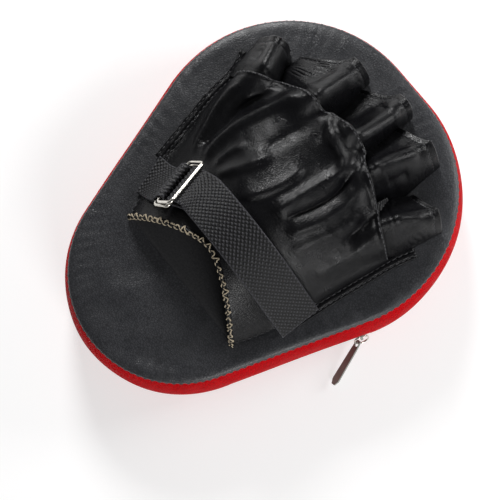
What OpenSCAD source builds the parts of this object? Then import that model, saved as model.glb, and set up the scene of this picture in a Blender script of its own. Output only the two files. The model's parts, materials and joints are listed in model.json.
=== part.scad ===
// Focus mitt: a padded striking target worn on the right hand.
// Z is up through the glove, Y points to the fingers, X to the little finger.
// The striking face lies on Z = 0 with its centre at the origin.

/* [Pad] */
// Width of the pad across its widest line
pad_w = 193; // [188:1:198]
// Length of the pad from the wrist end to the finger end
pad_l = 241; // [238:1:246]
// Height from the striking face to the top of the back panel
pad_h = 46.5; // [45:0.5:48]
// Radius of the two shoulders at the finger end
shoulder_r = 84; // [80:1:88]
// Radius of the wrist end
wrist_r = 68; // [64:1:72]
// How far the side band stands out past the back panel's edge
bulge = 5.7; // [4:0.1:6]
// Height of the band's widest line
bulge_z = 20; // [18:1:24]
// Thickness of the covering leather
skin_t = 1.6; // [1.2:0.1:1.8]

/* [Padding] */
// Thickness of the soft foam behind the striking face
soft_foam_t = 22; // [18:1:23]
// Thickness of the dense foam over it
dense_foam_t = 12; // [8:1:12]
// Thickness of the stiff backing board
board_t = 2; // [1.5:0.5:2.5]

/* [Glove] */
// Thickness of the leather that lies on the back panel under the hand
palm_t = 1.3; // [1:0.1:1.6]
// Thickness of the lined leather over the hand
glove_t = 2.4; // [1.8:0.1:2.6]
// Height of the glove over the knuckles
knuckle_h = 39; // [34:1:42]
// Height of the glove at the wrist edge
wrist_h = 32.5; // [31:0.5:33]
// Width of the sewn flange along each side of the glove
flange_w = 5.5; // [4:0.5:7]

/* [Strap] */
// Width of the webbing
web_w = 25.4; // [20:0.1:26]
// Thickness of the webbing
web_t = 1.5; // [1.2:0.1:1.6]
// Height of the strap's arch over the hand
strap_h = 37.5; // [37:0.5:39]
// Thickness of the hook and of the loop fastener
fastener_t = 0.8; // [0.6:0.1:0.9]

/* [Buckle] */
// Radius of the ring wire
wire_r = 1; // [0.8:0.1:1.1]
// Length of a ring between the centres of its short bars
ring_l = 31; // [29:0.5:33]
// Width of a ring between the centres of its long bars
ring_w = 12.4; // [12:0.1:12.8]
// Slope of the rings on the side of the hand
ring_slope = 50; // [48:1:52]
// Turn of the rings within that slope
ring_turn = 24; // [22:1:26]

/* [Zipper] */
// Length of the tooth chain
chain_l = 84; // [70:1:86]
// Height of the chain's centre line
zip_z = 17; // [16:1:18]
// Pitch of the teeth
tooth_pitch = 2; // [2:0.5:4]
// Radius of the link ring between slider and pull tab
link_r = 4.2; // [3.8:0.1:4.6]
// Angle of the link ring below the horizontal
link_droop = 70; // [60:1:80]
// Length of the pull tab from its eye
pull_l = 28; // [22:1:30]
// Angle of the pull tab below the horizontal
pull_droop = 14; // [10:1:15]
// Heading of the pull tab, from straight out towards the wrist end
pull_heading = 51.5; // [40:0.5:60]
// Roll of the pull tab about its length
pull_roll = 42; // [30:1:50]

/* [Hidden] */
PAD = ["face_panel", "side_band", "back_panel", "soft_foam", "dense_foam", "backing_board",
    "hand_foam"];
GLOVE = ["glove_palm", "glove_back", "thumb_sleeve", "index_sleeve", "middle_sleeve",
    "ring_finger_sleeve", "little_sleeve", "thumb_gusset", "index_gusset", "middle_gusset",
    "little_gusset", "left_flange", "right_flange", "wrist_binding"];
CLOSURE = ["ring_tab", "inner_ring", "outer_ring", "strap_fold", "strap_anchor", "strap_loop",
    "strap_hook", "strap_tail"];
ZIP = ["zip_tape_upper", "zip_tape_lower", "zip_teeth_upper", "zip_teeth_lower", "zip_stops",
    "zip_slider", "zip_link_ring", "zip_pull_tab"];

$fn = 32;
gap = 0.1;
face_t = 2;
panel_t = 2;
foot_bulge = 3.5;
foam_inset = bulge + skin_t + 0.9;

// Outline of the pad: two shoulders and a wrist end joined by straight sides
shoulder_x = pad_w / 2 - shoulder_r;
shoulder_y = pad_l / 2 - shoulder_r;
wrist_y = wrist_r - pad_l / 2;
centres_l = norm([shoulder_x, shoulder_y - wrist_y]);
side_angle = atan2(shoulder_y - wrist_y, shoulder_x) - acos((wrist_r - shoulder_r) / centres_l);
side_top = [shoulder_x, shoulder_y] + shoulder_r * [cos(side_angle), sin(side_angle)];

function arc(c, r, from, to, n) =
    [for (i = [0:n]) let (a = from + (to - from) * i / n) c + r * [cos(a), sin(a)]];
function pad_outline(inset) = concat(
    arc([shoulder_x, shoulder_y], shoulder_r - inset, side_angle, 90, 14),
    arc([-shoulder_x, shoulder_y], shoulder_r - inset, 90, 180 - side_angle, 14),
    arc([0, wrist_y], wrist_r - inset, 180 - side_angle, 360 + side_angle, 20));
function band_inset(z) = z > bulge_z
    ? bulge * pow((z - bulge_z) / (pad_h - bulge_z), 2)
    : foot_bulge * pow((bulge_z - z) / bulge_z, 2);
function at_height(points, z) = [for (p = points) [p[0], p[1], z]];

// Skin between an outer and an inner grid of points, rows by columns
function two(a, b, c, d) = [[a, b, c], [a, c, d]];
module skin(outer, inner, closed = false) {
    rows = len(outer);
    cols = len(outer[0]);
    last = closed ? cols - 1 : cols - 2;
    function o(i, j) = i * cols + j % cols;
    function n(i, j) = rows * cols + o(i, j);
    polyhedron(
        points = concat([for (r = outer) each r], [for (r = inner) each r]),
        faces = concat(
            [for (i = [0:rows - 2], j = [0:last]) each concat(
                two(o(i, j), o(i + 1, j), o(i + 1, j + 1), o(i, j + 1)),
                two(n(i, j), n(i, j + 1), n(i + 1, j + 1), n(i + 1, j)))],
            [for (j = [0:last]) each concat(
                two(o(0, j), o(0, j + 1), n(0, j + 1), n(0, j)),
                two(o(rows - 1, j + 1), o(rows - 1, j), n(rows - 1, j), n(rows - 1, j + 1)))],
            closed ? [] : [for (i = [0:rows - 2]) each concat(
                two(o(i + 1, 0), o(i, 0), n(i, 0), n(i + 1, 0)),
                two(o(i, cols - 1), o(i + 1, cols - 1), n(i + 1, cols - 1), n(i, cols - 1)))]));
}

// Pad
module slab(inset, bottom, top) {
    translate([0, 0, bottom]) linear_extrude(top - bottom) polygon(pad_outline(inset));
}
soft_z = face_t + gap;
dense_z = soft_z + soft_foam_t + gap;
board_z = dense_z + dense_foam_t + gap;
hand_z = board_z + board_t + gap;
panel_z = pad_h - panel_t;

module face_panel() {
    color("dimgray") slab(band_inset(face_t), 0, face_t);
}
module side_band() {
    levels = [for (i = [0:6]) face_t + (panel_z - face_t) * i / 6];
    color("red") difference() {
        skin([for (z = levels) at_height(pad_outline(band_inset(z)), z)],
            [for (z = levels) at_height(pad_outline(band_inset(z) + skin_t), z)], true);
        on_zip() translate([-12, -chain_l - 3, -window_h / 2]) cube([24, chain_l + 6, window_h]);
    }
}
module back_panel() {
    color([0.16, 0.16, 0.17]) slab(band_inset(panel_z), panel_z, pad_h);
}
module soft_foam() {
    color("khaki") slab(foam_inset, soft_z, soft_z + soft_foam_t);
}
module dense_foam() {
    color("darkgray") slab(foam_inset, dense_z, dense_z + dense_foam_t);
}
module backing_board() {
    color("peru") slab(foam_inset + 1, board_z, board_z + board_t);
}
module hand_foam() {
    color("wheat") slab(foam_inset, hand_z, panel_z - gap);
}

// Glove: stations across the hand, from the wrist edge to the knuckles.
// Each is [y at its feet, y at its crown, left foot, right foot, height, peak, flare of
// the left side, flare of the right side].
STATIONS = [
    [-56, -33, -41, 51, wrist_h, 2.2, 0.8, 0.8],
    [-42, -24, -47, 56, wrist_h + 1, 2.2, 1.05, 0.95],
    [-22, -12, -55, 61, wrist_h + 1, 2.2, 1.6, 1.2],
    [0, 5, -60, 63, wrist_h + 3, 2.3, 1.6, 1.1],
    [22, 28, -65, 66, wrist_h + 4.5, 2.5, 1.15, 1.0],
    [43, 64, -68, 69, knuckle_h, 2.6, 0.9, 0.85]];
palm_z = pad_h + gap;
glove_z = palm_z + palm_t;
ARCH_N = 18;

CROWN_X = 5;

// An arch is [y at its feet, y at its crown, left, right, height, peak, left and right flare]
function arch(a, crown_x, inset) = [
    for (k = [0:ARCH_N])
        let (t = -cos(180 * k / ARCH_N), foot = t < 0 ? crown_x - a[2] : a[3] - crown_x)
        [crown_x + (foot - inset) * t, a[0] + (a[1] - a[0]) * (1 - pow(abs(t), 1.5)),
            glove_z + (a[4] - inset) * pow(1 - pow(abs(t), a[5]), t < 0 ? a[6] : a[7])]];
function station_arch(s, inset) = arch(s, CROWN_X, inset);
function feet(column, side) = [for (s = STATIONS) [s[column] + side, s[0]]];
function reverse(v) = [for (i = [len(v) - 1:-1:0]) v[i]];

// Finger sleeves: [base x, base y, heading, length, base width, base height, tip width, tip height]
THUMB = [-57, 49, 25, 24, 23, 26, 18, 18];
INDEX = [-25.5, 63.5, 2.5, 31, 27, 36, 20, 20];
MIDDLE = [3, 66, -2.5, 35, 26.5, 38, 19, 21];
RING = [31, 61.5, -8, 35, 26, 35, 18.5, 20];
LITTLE = [57, 52, -22, 25, 21, 27, 16.5, 16.5];

module at_finger(f) {
    translate([f[0], f[1], 0]) rotate([0, 0, f[2]]) children();
}
module sleeve(f) {
    steps = [0, 0.3, 0.65, 1];
    function row(s, inset) =
        let (w = f[4] + (f[6] - f[4]) * s, h = f[7] + (f[5] - f[7]) * pow(1 - s, 1.6))
        arch([f[3] * s, f[3] * s, -w / 2, w / 2, h, 2.6, 0.6, 0.6], 0, inset);
    at_finger(f) skin([for (s = steps) row(s, 0)], [for (s = steps) row(s, glove_t * 0.85)]);
}
module gusset(points, h) {
    color([0.12, 0.12, 0.13]) translate([0, 0, palm_z]) linear_extrude(h) polygon(points);
}
module flange(column, side) {
    y_low = STATIONS[2][0];
    inner = [for (p = feet(column, side * 0.2)) if (p[1] >= y_low) p];
    outer = [for (p = feet(column, side * flange_w)) if (p[1] >= y_low) p];
    far = [outer[len(outer) - 1] + [side * 4, 15], inner[len(inner) - 1] + [side * 4, 15]];
    color([0.1, 0.1, 0.11]) translate([0, 0, palm_z]) linear_extrude(2.6)
        polygon(concat(outer, far, reverse(inner)));
}

module glove_palm() {
    color([0.2, 0.2, 0.2]) translate([0, 0, palm_z]) linear_extrude(palm_t) {
        polygon(concat(feet(2, 0), [[-40, 52], [-12, 64], [18, 66], [46, 58]], reverse(feet(3, 0))));
        for (f = [THUMB, INDEX, MIDDLE, RING, LITTLE])
            at_finger(f) polygon([[-f[4] / 2, -6], [-f[4] / 2, 0], [-f[6] / 2, f[3]],
                [f[6] / 2, f[3]], [f[4] / 2, 0], [f[4] / 2, -6]]);
    }
}
module glove_back() {
    color([0.1, 0.1, 0.1])
        skin([for (s = STATIONS) station_arch(s, 0)], [for (s = STATIONS) station_arch(s, glove_t)]);
}
module wrist_binding() {
    function row(back, inset) =
        [for (p = station_arch(STATIONS[0], inset)) p - [0, back, 0]];
    color([0.8, 0.75, 0.62]) skin([row(2.2, 0), row(0.1, 0)], [row(2.2, glove_t), row(0.1, glove_t)]);
}
module thumb_sleeve() {
    color([0.08, 0.08, 0.09]) sleeve(THUMB);
}
module index_sleeve() {
    color([0.08, 0.08, 0.09]) sleeve(INDEX);
}
module middle_sleeve() {
    color([0.08, 0.08, 0.09]) sleeve(MIDDLE);
}
module ring_finger_sleeve() {
    color([0.08, 0.08, 0.09]) sleeve(RING);
}
module little_sleeve() {
    color([0.08, 0.08, 0.09]) sleeve(LITTLE);
}
module thumb_gusset() {
    gusset([[-46, 62], [-43, 62], [-46, 76], [-52, 74]], 9);
}
module index_gusset() {
    gusset([[-12, 78], [-9.6, 78], [-8.2, 92], [-14, 90]], 11);
}
module middle_gusset() {
    gusset([[17.6, 79], [19.6, 79], [24, 93], [17, 92]], 12);
}
module little_gusset() {
    gusset([[48.4, 69], [50, 69], [55, 79], [49.5, 84]], 10);
}
module left_flange() {
    flange(2, -1);
}
module right_flange() {
    flange(3, 1);
}

// Strap: it follows one arch over the hand, in planes across it
strap_left = 50;
strap_right = 61;
strap_y = -19;
strap_end_x = 64;
loop_from = -12;
loop_to = 46;

function strap_at(x) =
    let (left = x < CROWN_X, t = abs(x - CROWN_X) / (left ? strap_left : strap_right))
    [x, glove_z + 0.3 + strap_h * pow(1 - pow(min(t, 1), 2.2), left ? 0.95 : 1.3)];
function strap_point(x, lift) =
    let (d = strap_at(x + 0.5) - strap_at(x - 0.5), n = [-d[1], d[0]] / norm(d))
    strap_at(x) + lift * n;
function layer(from, to, low, high, n) = concat(
    [for (i = [0:n]) strap_point(from + (to - from) * i / n, high)],
    [for (i = [n:-1:0]) strap_point(from + (to - from) * i / n, low)]);
module across(points, w) {
    translate([0, strap_y + w / 2, 0]) rotate([90, 0, 0]) linear_extrude(w) polygon(points);
}
module before_cut(x) {
    on_buckle() translate([x - 60, -40, -40]) cube([60, 80, 80]);
}

module strap_anchor() {
    color([0.07, 0.07, 0.07]) difference() {
        across(layer(-34, strap_end_x - 6, -web_t / 2, web_t / 2, 36), web_w);
        before_cut(fold_to + 0.1);
    }
}
module strap_loop() {
    low = web_t / 2 + 0.02;
    color([0.13, 0.13, 0.13])
        across(layer(loop_from, loop_to, low, low + fastener_t, 24), web_w - 3);
}
module strap_hook() {
    high = tail_low - 0.02;
    color([0.13, 0.13, 0.13])
        across(layer(loop_from, loop_to, high - fastener_t, high, 24), web_w - 3);
}
tail_low = web_t / 2 + 2 * fastener_t + 0.34;
module strap_tail() {
    color([0.07, 0.07, 0.07]) difference() {
        across(layer(-34, strap_end_x, tail_low, tail_low + web_t, 40), web_w);
        before_cut(tail_from);
    }
}

// Buckle: local X runs up the slope of the hand, local Y along the long bars
buckle_at = [-38, -28, 65];
outer_left = [5, 2.8];
outer_right = [17.4, 3.6];
fold_r = wire_r + 0.75 + web_t / 2;
fold_to = 19.6;
tail_from = 22;
bend_r = 2.4;
tab_l = 32;

module on_buckle() {
    translate(buckle_at) rotate([0, -ring_slope, 0]) rotate([0, 0, ring_turn]) children();
}
// The bars are a hair thinner than the bends and end a little way inside them
module rod(l) {
    rotate([90, 0, 0]) cylinder(r = wire_r - 0.02, h = l + 0.2, center = true);
}
module corner_bend() {
    rotate_extrude(angle = 90) translate([bend_r, 0]) circle(wire_r, $fn = 20);
}
module wire_ring(w) {
    long = ring_l - 2 * bend_r;
    short = w - 2 * bend_r;
    for (s = [0, 1]) {
        translate([s * w, 0, 0]) rod(long);
        translate([w / 2, (s - 0.5) * ring_l, 0]) rotate([0, 0, 90]) rod(short);
    }
    translate([w - bend_r, long / 2, 0]) corner_bend();
    translate([bend_r, long / 2, 0]) rotate([0, 0, 90]) corner_bend();
    translate([bend_r, -long / 2, 0]) rotate([0, 0, 180]) corner_bend();
    translate([w - bend_r, -long / 2, 0]) rotate([0, 0, 270]) corner_bend();
}
module inner_ring() {
    color("silver") on_buckle() wire_ring(ring_w);
}
module outer_ring() {
    d = outer_right - outer_left;
    color("silver") on_buckle() translate([outer_left[0], 0, outer_left[1]])
        rotate([0, -atan2(d[1], d[0]), 0]) wire_ring(norm(d));
}
module web_slice(points, w) {
    translate([0, w / 2, 0]) rotate([90, 0, 0]) linear_extrude(w) polygon(points);
}
// Stadium about the two left bars
function loop_outline(r) = concat(arc(outer_left, r, -61, 119, 12), arc([0, 0], r, 119, 299, 12));
module ring_tab() {
    inner = wire_r + 0.4;
    color([0.09, 0.09, 0.09]) difference() {
        on_buckle() {
            web_slice(loop_outline(inner + web_t), web_w);
            web_slice([[-tab_l, -2.9], [0, -2.9], [0, 0.1], [-tab_l, 0.1]], web_w);
        }
        on_buckle() web_slice(loop_outline(inner), web_w + 1);
        translate([-100, -100, 0]) cube([100, 100, palm_z]);
    }
}
module strap_fold() {
    bar = [ring_w, 0];
    // The lower layer rises to the bar, turns round it and falls away as the upper layer
    lower = [[fold_to, -4.3], [bar[0] + 1, -fold_r]];
    upper = [[bar[0] + 1, fold_r], [fold_to, -0.45]];
    h = web_t / 2;
    outside = concat([lower[0] - [0, h], lower[1] - [0, h]], arc(bar, fold_r + h, 270, 90, 14),
        [upper[0] + [0, h], upper[1] + [0, h]]);
    inside = concat([upper[1] - [0, h], upper[0] - [0, h]], arc(bar, fold_r - h, 90, 270, 14),
        [lower[1] + [0, h], lower[0] + [0, h]]);
    color([0.07, 0.07, 0.07]) on_buckle() web_slice(concat(outside, inside), web_w);
}

// Zipper: local X runs straight out of the side, local Y along the side to the fingers
tape_x = -3.6;
tape_t = 0.6;
tooth_h = 2.75;
tooth_t = 2.2;
chain_gap = 0.45;
window_h = 14;
slider_y = -4.5;
slider_l = 9;
slider_h = 8.4;
plate_t = 1;
inner_x = tape_x - tooth_t / 2 - 0.2 - plate_t;
outer_x = tape_x + tooth_t / 2 + 0.2;
eye_x = outer_x + plate_t + 1.5;
link_wire = 0.55;

module on_zip() {
    translate([side_top[0], side_top[1], zip_z]) rotate([0, 0, side_angle]) children();
}
module tape(side) {
    z = side > 0 ? chain_gap + tooth_h : -chain_gap - tooth_h - 6;
    on_zip() translate([tape_x - tape_t / 2, -chain_l - 5, z]) cube([tape_t, chain_l + 10, 6]);
}
module teeth(side) {
    z = side > 0 ? chain_gap : -chain_gap - tooth_h;
    core = side > 0 ? z + 1.2 : z;
    on_zip() {
        translate([tape_x - tape_t / 2, -chain_l, core]) cube([tape_t, chain_l, tooth_h - 1.2]);
        for (y = [-chain_l:tooth_pitch:-1])
            translate([tape_x - tooth_t / 2, y + 0.2, z]) cube([tooth_t, 1.2, tooth_h]);
    }
}
module zip_tape_upper() {
    color([0.09, 0.09, 0.09]) tape(1);
}
module zip_tape_lower() {
    color([0.09, 0.09, 0.09]) tape(-1);
}
module zip_teeth_upper() {
    color([0.15, 0.15, 0.15]) teeth(1);
}
module zip_teeth_lower() {
    color([0.15, 0.15, 0.15]) teeth(-1);
}
module zip_stops() {
    color("silver") on_zip() for (y = [0.5, -chain_l - 2.5])
        translate([tape_x - 1.3, y, -3]) cube([2.6, 2, 6]);
}
module zip_slider() {
    color("silver") on_zip() translate([0, slider_y, 0]) {
        for (x = [inner_x, outer_x])
            translate([x, 0, 0]) rotate([0, 90, 0]) linear_extrude(plate_t)
                polygon([[-slider_h / 2, -3.4], [-2.6, -slider_l / 2], [2.6, -slider_l / 2],
                    [slider_h / 2, -3.4], [slider_h / 2, 3.4], [2.6, slider_l / 2],
                    [-2.6, slider_l / 2], [-slider_h / 2, 3.4]]);
        translate([inner_x, 1, -0.25]) cube([outer_x - inner_x + plate_t, 3, 0.5]);
        difference() {
            union() {
                translate([eye_x, 0, 0]) rotate([90, 0, 0])
                    cylinder(r = 2.1, h = 1.4, center = true);
                translate([outer_x, -0.7, -2.1]) cube([eye_x - outer_x, 1.4, 4.2]);
            }
            translate([eye_x, 0, 0]) rotate([90, 0, 0]) cylinder(r = 1.15, h = 4, center = true);
        }
    }
}
module at_link() {
    on_zip() translate([eye_x, slider_y, 0]) rotate([0, link_droop, 0]) children();
}
module zip_link_ring() {
    color("silver") at_link() translate([link_r, 0, 0])
        rotate_extrude($fn = 48) translate([link_r, 0]) circle(link_wire, $fn = 16);
}
// The pull tab hangs on the lower part of the link ring, off towards the wrist end
hang_angle = 40;
hang = link_r * [1 + cos(hang_angle), -sin(hang_angle)];
module zip_pull_tab() {
    eye_r = 1.45;
    place = [eye_x + hang[0] * cos(link_droop), slider_y + hang[1], -hang[0] * sin(link_droop)];
    color("silver") on_zip() translate(place) rotate([pull_roll, pull_droop, -pull_heading])
        difference() {
            translate([0, 0, -0.5]) linear_extrude(1)
                polygon([[-1.9, -0.9], [-1.2, -1.7], [4, -2.1], [pull_l - 3, -2.6],
                    [pull_l, -1.2], [pull_l, 1.2], [pull_l - 3, 2.6], [4, 2.1], [-1.2, 1.7],
                    [-1.9, 0.9]]);
            translate([0.7, 0, 0]) cylinder(r = eye_r, h = 4, center = true);
        }
}

face_panel();
side_band();
back_panel();
soft_foam();
dense_foam();
backing_board();
hand_foam();
glove_palm();
glove_back();
thumb_sleeve();
index_sleeve();
middle_sleeve();
ring_finger_sleeve();
little_sleeve();
thumb_gusset();
index_gusset();
middle_gusset();
little_gusset();
left_flange();
right_flange();
wrist_binding();
ring_tab();
inner_ring();
outer_ring();
strap_fold();
strap_anchor();
strap_loop();
strap_hook();
strap_tail();
zip_tape_upper();
zip_tape_lower();
zip_teeth_upper();
zip_teeth_lower();
zip_stops();
zip_slider();
zip_link_ring();
zip_pull_tab();
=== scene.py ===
import json
import math

import bmesh
import bpy
import numpy as np
from mathutils import Matrix, Vector


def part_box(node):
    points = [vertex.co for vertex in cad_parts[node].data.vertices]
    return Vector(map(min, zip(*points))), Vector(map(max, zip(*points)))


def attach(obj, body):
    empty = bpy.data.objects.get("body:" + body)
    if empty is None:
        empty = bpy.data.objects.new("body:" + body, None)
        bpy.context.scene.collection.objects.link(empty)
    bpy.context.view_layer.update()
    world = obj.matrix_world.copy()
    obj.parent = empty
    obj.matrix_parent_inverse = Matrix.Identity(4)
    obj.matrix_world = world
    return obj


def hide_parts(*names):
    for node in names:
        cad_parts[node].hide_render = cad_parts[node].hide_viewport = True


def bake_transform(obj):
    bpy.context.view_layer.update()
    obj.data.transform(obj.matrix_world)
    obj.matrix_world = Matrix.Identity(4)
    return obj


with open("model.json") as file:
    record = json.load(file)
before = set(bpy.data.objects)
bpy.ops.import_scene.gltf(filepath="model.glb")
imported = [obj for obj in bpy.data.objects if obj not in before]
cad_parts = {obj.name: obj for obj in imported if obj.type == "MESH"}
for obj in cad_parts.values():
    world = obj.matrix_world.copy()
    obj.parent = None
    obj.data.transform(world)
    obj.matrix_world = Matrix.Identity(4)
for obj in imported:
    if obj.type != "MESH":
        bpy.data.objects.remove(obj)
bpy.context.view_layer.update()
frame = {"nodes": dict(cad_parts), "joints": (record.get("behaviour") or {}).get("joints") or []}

# Lengths are millimetres in the part's own frame until a mesh is made
MM = 0.001

# Pad
PAD_H = 46.5
SHOULDER_R = 84
SHOULDER = (12.5, 36.5)
WRIST_R = 68
WRIST_Y = -52.5
SIDE_ANGLE = math.radians(-18.25)
BULGE_Z = 20
FACE_T = 2
PANEL_Z = 44.5
TUCK_Z = 44.45
SKIN_T = 1.6
FOAM_INSET = 8.2

# Glove
PALM_Z = 46.6
GLOVE_Z = 47.9
CROWN_X = 5
LEATHER_T = 1.5
# y at the feet, y at the crown, left foot, right foot, height, peak, left and right flare
STATIONS = [
    (-56, -33, -41, 51, 32.5, 2.2, 0.8, 0.8),
    (-42, -24, -47, 56, 33.5, 2.2, 1.05, 0.95),
    (-22, -12, -55, 61, 33.5, 2.2, 1.6, 1.2),
    (0, 5, -60, 63, 35.5, 2.3, 1.6, 1.1),
    (22, 28, -65, 66, 37, 2.5, 1.15, 1.0),
    (43, 64, -68, 69, 39, 2.6, 0.9, 0.85),
]
LAST = len(STATIONS) - 1
SEAM_S = LAST - 0.12
# The knuckle edge of the glove's back, seen from above
KNUCKLE_LINE = [
    (-75, 35), (-66, 41), (-57, 47), (-42, 57), (-26, 62), (-15, 62.5), (-10, 65.5), (3, 67.5),
    (16, 66), (22, 61.5), (44, 52.5), (57, 45), (75, 40),
]
# base x, base y, heading, length, base width, base height, tip width, tip height
FINGERS = {
    "thumb": (-57, 49, 24, 21.5, 23, 26, 15.5, 18),
    "index": (-25.5, 63.5, 2.5, 31, 27, 36, 20, 20),
    "middle": (3, 66, -2.5, 35, 26.5, 38, 19, 21),
    "ring_finger": (31, 61.5, -8, 35, 26, 35, 18.5, 20),
    "little": (57, 52, -22, 25, 21, 27, 16.5, 16.5),
}

# Strap and buckle
STRAP_Y = -19
WEB_W = 25.4
WEB_T = 1.5
STRAP_H = 37.5
STRAP_LEFT = 50
STRAP_RIGHT = 61
STRAP_END = 64
TAIL_LIFT = 3.44
BUCKLE_AT = (-38, -28, 65)
RING_SLOPE = math.radians(50)
RING_TURN = math.radians(24)
RING_L = 31
RING_W = 12.4
WIRE_R = 1
BEND_R = 2.4
OUTER_LEFT = (5, 2.8)
OUTER_RIGHT = (17.4, 3.6)
FOLD_R = WIRE_R + 0.75 + WEB_T / 2

# Zipper
ZIP_Z = 17
CHAIN_L = 84
TAPE_X = -3.6


# ---------------------------------------------------------------- small maths
def ease(x, low, high):
    t = np.clip((np.asarray(x, float) - low) / (high - low), 0, 1)
    return t * t * (3 - 2 * t)


def spline(values, s):
    """A smooth curve through the values, which stand at 0, 1, 2 and so on."""
    v = np.asarray(values, float)
    v = np.concatenate([[2 * v[0] - v[1]], v, [2 * v[-1] - v[-2]]])
    i = np.clip(np.floor(s).astype(int), 0, len(v) - 4)
    u = s - i
    a, b, c, d = v[i], v[i + 1], v[i + 2], v[i + 3]
    return 0.5 * (2 * b + (c - a) * u + (2 * a - 5 * b + 4 * c - d) * u**2 + (3 * b - a - 3 * c + d) * u**3)


def evenly(points, step):
    """The same line with points a step apart."""
    far = np.r_[0, np.cumsum(np.linalg.norm(np.diff(points, axis=0), axis=1))]
    at = np.linspace(0, far[-1], max(3, int(round(far[-1] / step)) + 1))
    return np.stack([np.interp(at, far, points[:, k]) for k in range(points.shape[1])], axis=1)


def curve_through(points, step):
    p = np.asarray(points, float)
    s = np.linspace(0, len(p) - 1, 40 * (len(p) - 1) + 1)
    return evenly(np.stack([spline(p[:, k], s) for k in range(p.shape[1])], axis=1), step)


def unit(v):
    return v / np.maximum(np.linalg.norm(v, axis=-1, keepdims=True), 1e-9)


def ripple(points, size, seed):
    """Smooth noise of about -1 to 1, with bumps about size across."""
    draw = np.random.RandomState(seed)
    total = 0
    for _ in range(12):
        heading = draw.normal(size=points.shape[-1])
        wave = heading / np.linalg.norm(heading) * 2 * math.pi / (size * draw.uniform(1.5, 3))
        total = total + np.sin(points @ wave + draw.uniform(0, 2 * math.pi))
    return total / 4


def fold(xy, line, height, width, other_width=None, fade=9):
    """Height of a fold along a line: width to its right and other_width to its left."""
    path = curve_through(line, 1.0)
    flat = xy.reshape(-1, 2)
    gap = flat[:, None, :] - path[None, :, :]
    near = np.argmin((gap**2).sum(-1), axis=1)
    away = gap[np.arange(len(flat)), near]
    tangent = unit(np.gradient(path, axis=0))[near]
    left = tangent[:, 0] * away[:, 1] - tangent[:, 1] * away[:, 0] > 0
    reach = np.where(left, other_width or width, width)
    ends = ease(np.minimum(near, len(path) - 1 - near), 0, fade)
    return (height * ends * np.exp(-((np.linalg.norm(away, axis=1) / reach) ** 1.35))).reshape(xy.shape[:-1])


# ---------------------------------------------------------------- meshes
def piece(name, points, faces, material, body="root", slot=None, replaces=()):
    """A mesh object from points in millimetres, on its body and with its material."""
    mesh = bpy.data.meshes.new(name)
    mesh.from_pydata((np.asarray(points) * MM).tolist(), [], [list(f) for f in faces])
    work = bmesh.new()
    work.from_mesh(mesh)
    bmesh.ops.recalc_face_normals(work, faces=work.faces)
    work.to_mesh(mesh)
    work.free()
    mesh.polygons.foreach_set("use_smooth", [True] * len(mesh.polygons))
    mesh.materials.append(material)
    obj = bpy.data.objects.new(name, mesh)
    bpy.context.scene.collection.objects.link(obj)
    if body:
        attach(obj, body)
    if replaces:
        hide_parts(*replaces)
    return obj


def quads(rows, cols, closed, start=0):
    i, j = np.meshgrid(np.arange(rows - 1), np.arange(cols if closed else cols - 1), indexing="ij")
    k = (j + 1) % cols
    corners = [i * cols + j, i * cols + k, (i + 1) * cols + k, (i + 1) * cols + j]
    return start + np.stack(corners, -1).reshape(-1, 4)


def shell(outer, inner, closed=False):
    """Points and faces of the closed skin between two grids."""
    rows, cols = outer.shape[:2]
    size = rows * cols
    points = np.concatenate([outer.reshape(-1, 3), inner.reshape(-1, 3)])
    faces = [quads(rows, cols, closed), quads(rows, cols, closed, size)[:, ::-1]]
    j = np.arange(cols if closed else cols - 1)
    k = (j + 1) % cols
    for row in (0, rows - 1):
        first = row * cols
        faces.append(np.stack([first + j, first + k, size + first + k, size + first + j], -1))
    if not closed:
        i = np.arange(rows - 1) * cols
        for col in (0, cols - 1):
            faces.append(np.stack([i + col, i + cols + col, size + i + cols + col, size + i + col], -1))
    return points, np.concatenate(faces)


def grid_normals(grid, closed=False):
    down = np.gradient(grid, axis=0)
    if closed:
        across = np.roll(grid, -1, axis=1) - np.roll(grid, 1, axis=1)
    else:
        across = np.gradient(grid, axis=1)
    return unit(np.cross(across, down))


def lengths(grid, axis):
    steps = np.linalg.norm(np.diff(grid, axis=axis), axis=-1)
    zero = np.zeros_like(np.take(steps, [0], axis=axis))
    far = np.concatenate([zero, np.cumsum(steps, axis=axis)], axis=axis)
    return np.minimum(far, np.take(far, [-1], axis=axis) - far)


def leather_skin(middle, thick, closed=False):
    """A sheet of that thickness about the middle surface, its edges rounded."""
    out = grid_normals(middle, closed)
    edge = lengths(middle, 0)
    if not closed:
        edge = np.minimum(edge, lengths(middle, 1))
    full = np.sqrt(np.clip(1 - (1 - np.clip(edge / (thick / 2), 0, 1)) ** 2, 0.03, 1))
    half = (thick / 2 * full)[..., None]
    return shell(middle + out * half, middle - out * half, closed)


def with_ends(values, lip):
    """The values, with a few more close to both ends for a rounded edge."""
    near = np.array([0.15, 0.4, 0.8, 1.3]) * lip
    return np.unique(np.r_[values, values[0] + near, values[-1] - near])


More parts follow.
